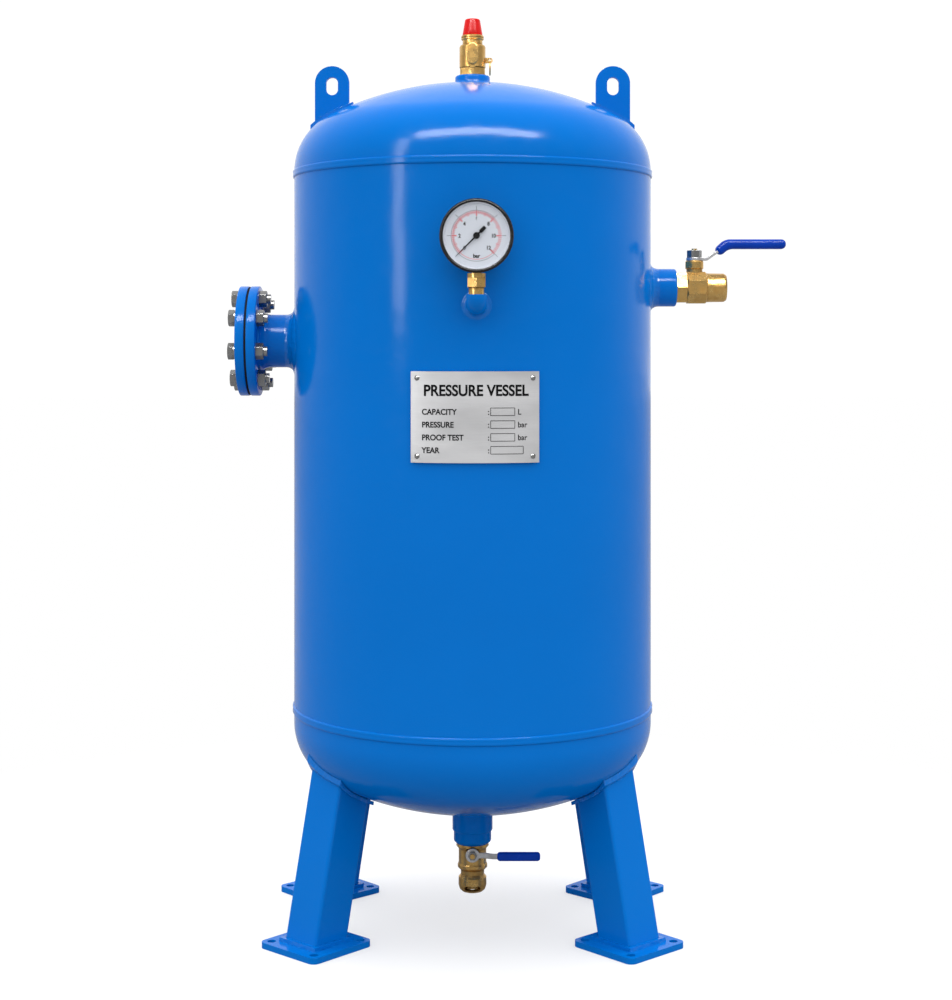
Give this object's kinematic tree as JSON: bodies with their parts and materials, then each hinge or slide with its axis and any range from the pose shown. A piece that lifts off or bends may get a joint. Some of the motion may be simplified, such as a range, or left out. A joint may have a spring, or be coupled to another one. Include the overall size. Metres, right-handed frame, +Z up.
{
  "type": "air receiver tank",
  "caption": "Vertical welded air receiver on splayed legs, with a blanked flanged inlet, gauge, lifting lugs, lever ball valves at outlet and drain, and a safety valve on top.",
  "frame": {"origin": "on the floor, on the vessel's vertical axis, at the centre of the anchor hole patterns", "axes": "+Z up along the vessel, +X out of the outlet valve, -Y out of the gauge's face"},
  "size_m": [0.9333, 0.6664, 1.5195],
  "materials": {
    "blue_paint": "gloss enamel",
    "brass": "cast and turned",
    "zinc_steel": "zinc plated",
    "steel": "pressed strip",
    "gasket": "matt",
    "plate_alloy": "brushed",
    "black_case": "satin",
    "dial": "matt white",
    "window": "clear",
    "pointer": "matt",
    "blue_grip": "dipped vinyl",
    "red_cap": "moulded",
    "seat": "PTFE",
    "ball_chrome": "polished"
  },
  "bodies": {
    "vessel": {"base_plates": "blue_paint", "blind_flange": "blue_paint", "bottom_head": "blue_paint", "drain_body": "brass", "drain_coupling": "blue_paint", "drain_end": "brass", "drain_gland": "brass", "drain_seats": "seat", "flange_bolts": "zinc_steel", "flange_nuts": "zinc_steel", "gauge_bezel": "black_case", "gauge_case": "black_case", "gauge_dial": "dial", "gauge_elbow": "blue_paint", "gauge_movement": "brass", "gauge_stem": "brass", "gauge_tube": "brass", "gauge_window": "window", "girth_welds": "blue_paint", "inlet_flange": "blue_paint", "inlet_gasket": "gasket", "inlet_neck": "blue_paint", "leg_front_left": "blue_paint", "leg_front_right": "blue_paint", "leg_rear_left": "blue_paint", "leg_rear_right": "blue_paint", "leg_welds": "blue_paint", "lifting_lug_left": "blue_paint", "lifting_lug_right": "blue_paint", "lug_welds": "blue_paint", "name_plate": "plate_alloy", "nozzle_welds": "blue_paint", "outlet_adapter": "brass", "outlet_body": "brass", "outlet_coupling": "blue_paint", "outlet_gland": "brass", "outlet_seats": "seat", "plate_bracket": "blue_paint", "plate_screws": "zinc_steel", "relief_body": "brass", "relief_bonnet": "brass", "relief_socket": "blue_paint", "relief_spring": "zinc_steel", "shell": "blue_paint", "top_head": "blue_paint"},
    "outlet_handle": {"outlet_lever": "steel", "outlet_nut": "zinc_steel", "outlet_grip": "blue_grip", "outlet_stem": "brass", "outlet_ball": "ball_chrome"},
    "drain_handle": {"drain_lever": "steel", "drain_nut": "zinc_steel", "drain_grip": "blue_grip", "drain_stem": "brass", "drain_ball": "ball_chrome"},
    "test_cap": {"relief_cap": "red_cap"},
    "relief_disc": {"relief_spindle": "brass"},
    "pull_ring": {"relief_ring": "brass"},
    "pointer": {"gauge_pointer": "pointer"},
    "sector": {"gauge_sector": "brass"}
  },
  "joints": [
    {"name": "outlet_turn", "type": "hinge", "parent": "vessel", "child": "outlet_handle", "pos_m": [0.375, 0, 1.065], "axis": [0, 0, 1], "range_deg": [0, 90]},
    {"name": "drain_turn", "type": "hinge", "parent": "vessel", "child": "drain_handle", "pos_m": [0, 0, 0.1155], "axis": [0, 1, 0], "range_deg": [0, 90]},
    {"name": "cap_turn", "type": "hinge", "parent": "vessel", "child": "test_cap", "pos_m": [0, 0, 1.5], "axis": [0, 0, 1], "range_deg": [0, 90]},
    {"name": "disc_lift", "type": "slide", "parent": "vessel", "child": "relief_disc", "axis": [0, 0, 1], "range_m": [0, 0.003], "deforming": ["relief_spring"]},
    {"name": "ring_swing", "type": "hinge", "parent": "vessel", "child": "pull_ring", "pos_m": [0.0295, 0, 1.44831], "axis": [0, -1, 0], "range_deg": [0, 180]},
    {"name": "sector_turn", "type": "hinge", "parent": "vessel", "child": "sector", "pos_m": [0.006, -0.345, 1.109], "axis": [0, -1, 0], "range_deg": [0, 38.57]},
    {"name": "pointer_turn", "type": "hinge", "parent": "vessel", "child": "pointer", "pos_m": [0.006, -0.345, 1.133], "axis": [0, 1, 0], "range_deg": [0, 270]}
  ],
  "couplings": [
    {"joint": "cap_turn", "follows": "disc_lift", "rad_per_m": 523.59},
    {"joint": "pointer_turn", "follows": "sector_turn", "ratio": 7}
  ]
}
